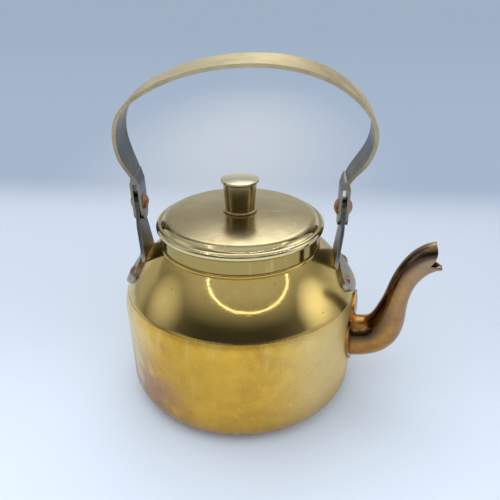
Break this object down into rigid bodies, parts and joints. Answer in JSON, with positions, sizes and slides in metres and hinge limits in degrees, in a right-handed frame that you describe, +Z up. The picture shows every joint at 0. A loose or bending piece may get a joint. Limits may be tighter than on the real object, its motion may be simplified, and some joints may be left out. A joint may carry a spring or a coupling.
{
  "type": "antique tea kettle",
  "caption": "Brass tea kettle with a domed shoulder, beaked spout, lift-off lid with a turned knob, and a strap handle that swings on riveted lugs.",
  "frame": {"origin": "middle of the flat underside", "axes": "+Z up along the body's axis, +X towards the spout's side in the handle's plane"},
  "size_m": [0.1976, 0.15, 0.2154],
  "materials": {
    "brass_body": "polished, aged",
    "brass_spout": "polished, warm",
    "brass_dull": "tarnished",
    "copper_rivet": "dull copper",
    "brass_handle": "worn satin",
    "brass_lid": "satin, spun",
    "brass_knob": "turned, polished"
  },
  "bodies": {
    "kettle": {"pot_body": "brass_body", "shoulder": "brass_body", "neck_collar": "brass_body", "spout": "brass_spout", "spout_flange": "brass_spout", "bracket_left": "brass_dull", "bracket_right": "brass_dull", "bracket_rivets_left": "copper_rivet", "bracket_rivets_right": "copper_rivet"},
    "bail": {"handle": "brass_handle", "pivot_rivet_left": "copper_rivet", "pivot_rivet_right": "copper_rivet"},
    "lid": {"lid_disc": "brass_lid", "lid_flange": "brass_lid", "knob_base_ring": "brass_lid", "lid_knob": "brass_knob"}
  },
  "joints": [
    {"name": "handle_swing", "type": "hinge", "parent": "kettle", "child": "bail", "pos_m": [0, 0, 0.127], "axis": [1, 0, 0], "range_deg": [-120.4, 107.6]},
    {"name": "lid_lift", "type": "slide", "parent": "kettle", "child": "lid", "axis": [0, 0, 1], "range_m": [0, 0.06]}
  ]
}
